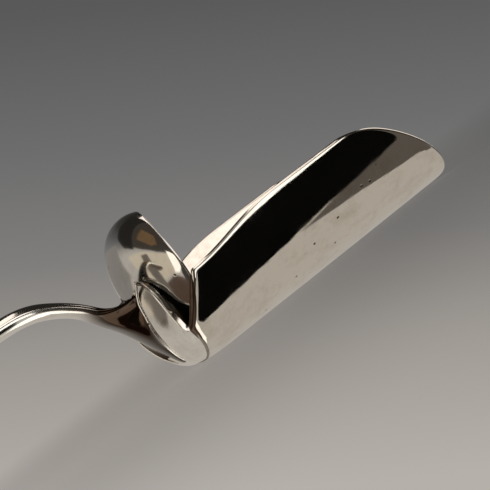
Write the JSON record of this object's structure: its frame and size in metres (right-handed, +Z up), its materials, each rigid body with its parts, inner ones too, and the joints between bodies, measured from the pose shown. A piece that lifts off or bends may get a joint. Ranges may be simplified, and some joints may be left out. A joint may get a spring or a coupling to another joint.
{
  "type": "caddy spoon",
  "caption": "Silver caddy spoon with a deep scoop bowl, a rounded mouth, a raised domed back and a curved handle with a broad rounded end.",
  "frame": {"origin": "middle of the spoon's footprint, on the surface that the bowl rests on", "axes": "+X from the handle's end to the bowl's mouth, +Z up out of the bowl"},
  "size_m": [0.0858, 0.0278, 0.0204],
  "materials": {
    "polished_silver": "polished sterling silver with fine wear",
    "handled_silver": "polished sterling silver, softer from handling"
  },
  "bodies": {
    "root": {"bowl_trough": "polished_silver", "domed_back": "polished_silver", "heel_plate": "handled_silver", "handle": "handled_silver"}
  },
  "joints": []
}
